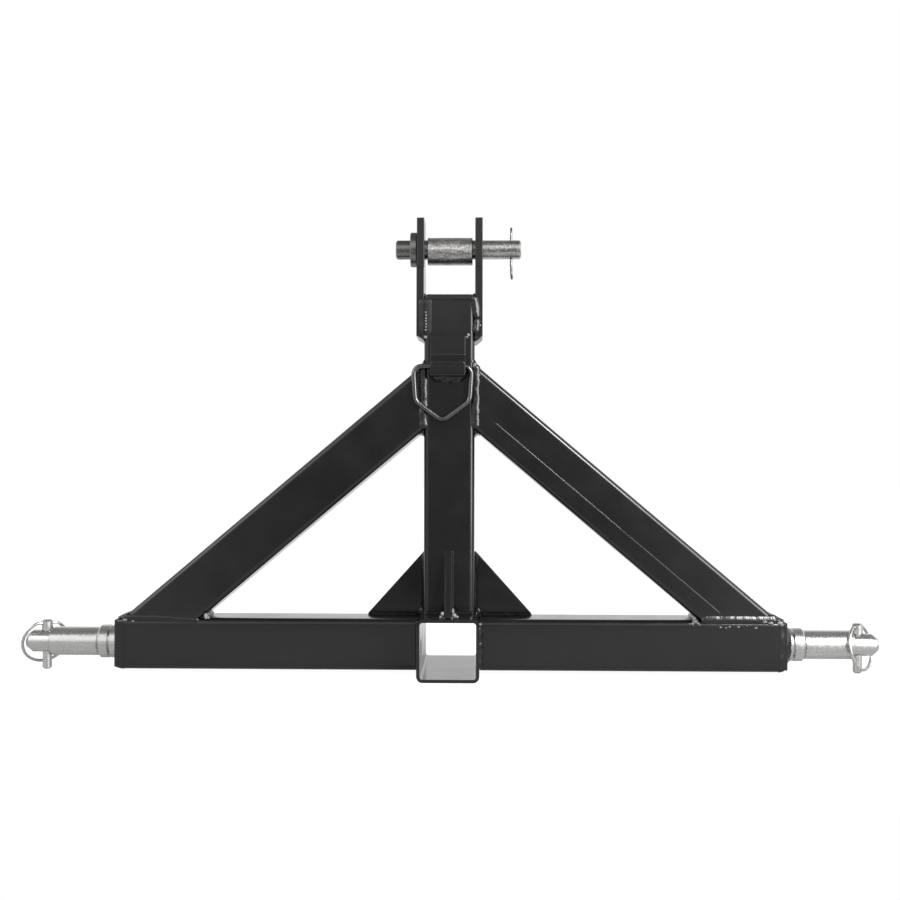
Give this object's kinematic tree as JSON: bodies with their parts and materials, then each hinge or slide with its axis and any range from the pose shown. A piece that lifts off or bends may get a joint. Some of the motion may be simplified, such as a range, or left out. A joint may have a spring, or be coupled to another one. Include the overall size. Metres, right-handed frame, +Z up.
{
  "type": "three point quick hitch",
  "caption": "Welded square-tube hitch frame for a tractor's three point linkage, with a clevis top pin, lower link pins held by linch pins, a chain ring and a receiver socket.",
  "frame": {"origin": "middle of the receiver tube's underside, on the ground", "axes": "+X to the right along the crossbar, +Y to the rear along the receiver tube, +Z up the mast, seen from the side on which a hitch bar enters the receiver"},
  "size_m": [0.8577, 0.15, 0.4529],
  "materials": {
    "black_coat": "glossy black powder coat over welded steel",
    "zinc_plate": "bright zinc plate over turned steel",
    "plain_steel": "plain drawn steel tube, slightly mottled",
    "spring_wire": "plated spring wire"
  },
  "bodies": {
    "frame": {"receiver_tube": "black_coat", "crossbar_left": "black_coat", "crossbar_right": "black_coat", "end_plate_left": "black_coat", "end_plate_right": "black_coat", "mast_tube": "black_coat", "mast_cap": "black_coat", "brace_left": "black_coat", "brace_right": "black_coat", "clevis_ear_left": "black_coat", "clevis_ear_right": "black_coat", "gusset_left": "black_coat", "gusset_right": "black_coat", "front_gusset": "black_coat", "ring_strap": "black_coat", "lower_pin_left": "zinc_plate", "lower_pin_right": "zinc_plate"},
    "chain_ring": {"chain_ring": "black_coat"},
    "top_pin": {"top_pin": "zinc_plate", "hairpin_clip": "spring_wire"},
    "top_sleeve": {"top_sleeve": "plain_steel"},
    "bushing_left": {"lower_bushing_left": "zinc_plate"},
    "bushing_right": {"lower_bushing_right": "zinc_plate"},
    "linch_pin_left": {"linch_pin_left": "zinc_plate"},
    "linch_pin_right": {"linch_pin_right": "zinc_plate"},
    "linch_ring_left": {"linch_ring_left": "zinc_plate"},
    "linch_ring_right": {"linch_ring_right": "zinc_plate"}
  },
  "joints": [
    {"name": "chain_ring_swing", "type": "hinge", "parent": "frame", "child": "chain_ring", "pos_m": [-0.0066, -0.0342, 0.304], "axis": [-1, 0, 0], "range_deg": [0, 170]},
    {"name": "top_pin_pull", "type": "slide", "parent": "frame", "child": "top_pin", "axis": [-1, 0, 0], "range_m": [0, 0.027]},
    {"name": "top_sleeve_spin", "type": "hinge", "parent": "frame", "child": "top_sleeve", "pos_m": [0, -0.0056, 0.42183], "axis": [1, 0, 0], "continuous": true},
    {"name": "bushing_left_spin", "type": "hinge", "parent": "frame", "child": "bushing_left", "pos_m": [-0.378, -0.0056, 0.0284], "axis": [1, 0, 0], "continuous": true},
    {"name": "bushing_right_spin", "type": "hinge", "parent": "frame", "child": "bushing_right", "pos_m": [0.378, -0.0056, 0.0284], "axis": [1, 0, 0], "continuous": true},
    {"name": "linch_pin_left_lift", "type": "slide", "parent": "frame", "child": "linch_pin_left", "axis": [0, 0, 1], "range_m": [0, 0.006]},
    {"name": "linch_pin_right_lift", "type": "slide", "parent": "frame", "child": "linch_pin_right", "axis": [0, 0, 1], "range_m": [0, 0.006]},
    {"name": "linch_ring_left_swing", "type": "hinge", "parent": "linch_pin_left", "child": "linch_ring_left", "pos_m": [-0.40675, -0.0056, 0.0464], "axis": [0.809, 0.5878, 0], "range_deg": [0, 150]},
    {"name": "linch_ring_right_swing", "type": "hinge", "parent": "linch_pin_right", "child": "linch_ring_right", "pos_m": [0.40675, -0.0056, 0.0464], "axis": [-0.6691, -0.7431, 0], "range_deg": [0, 150]}
  ]
}
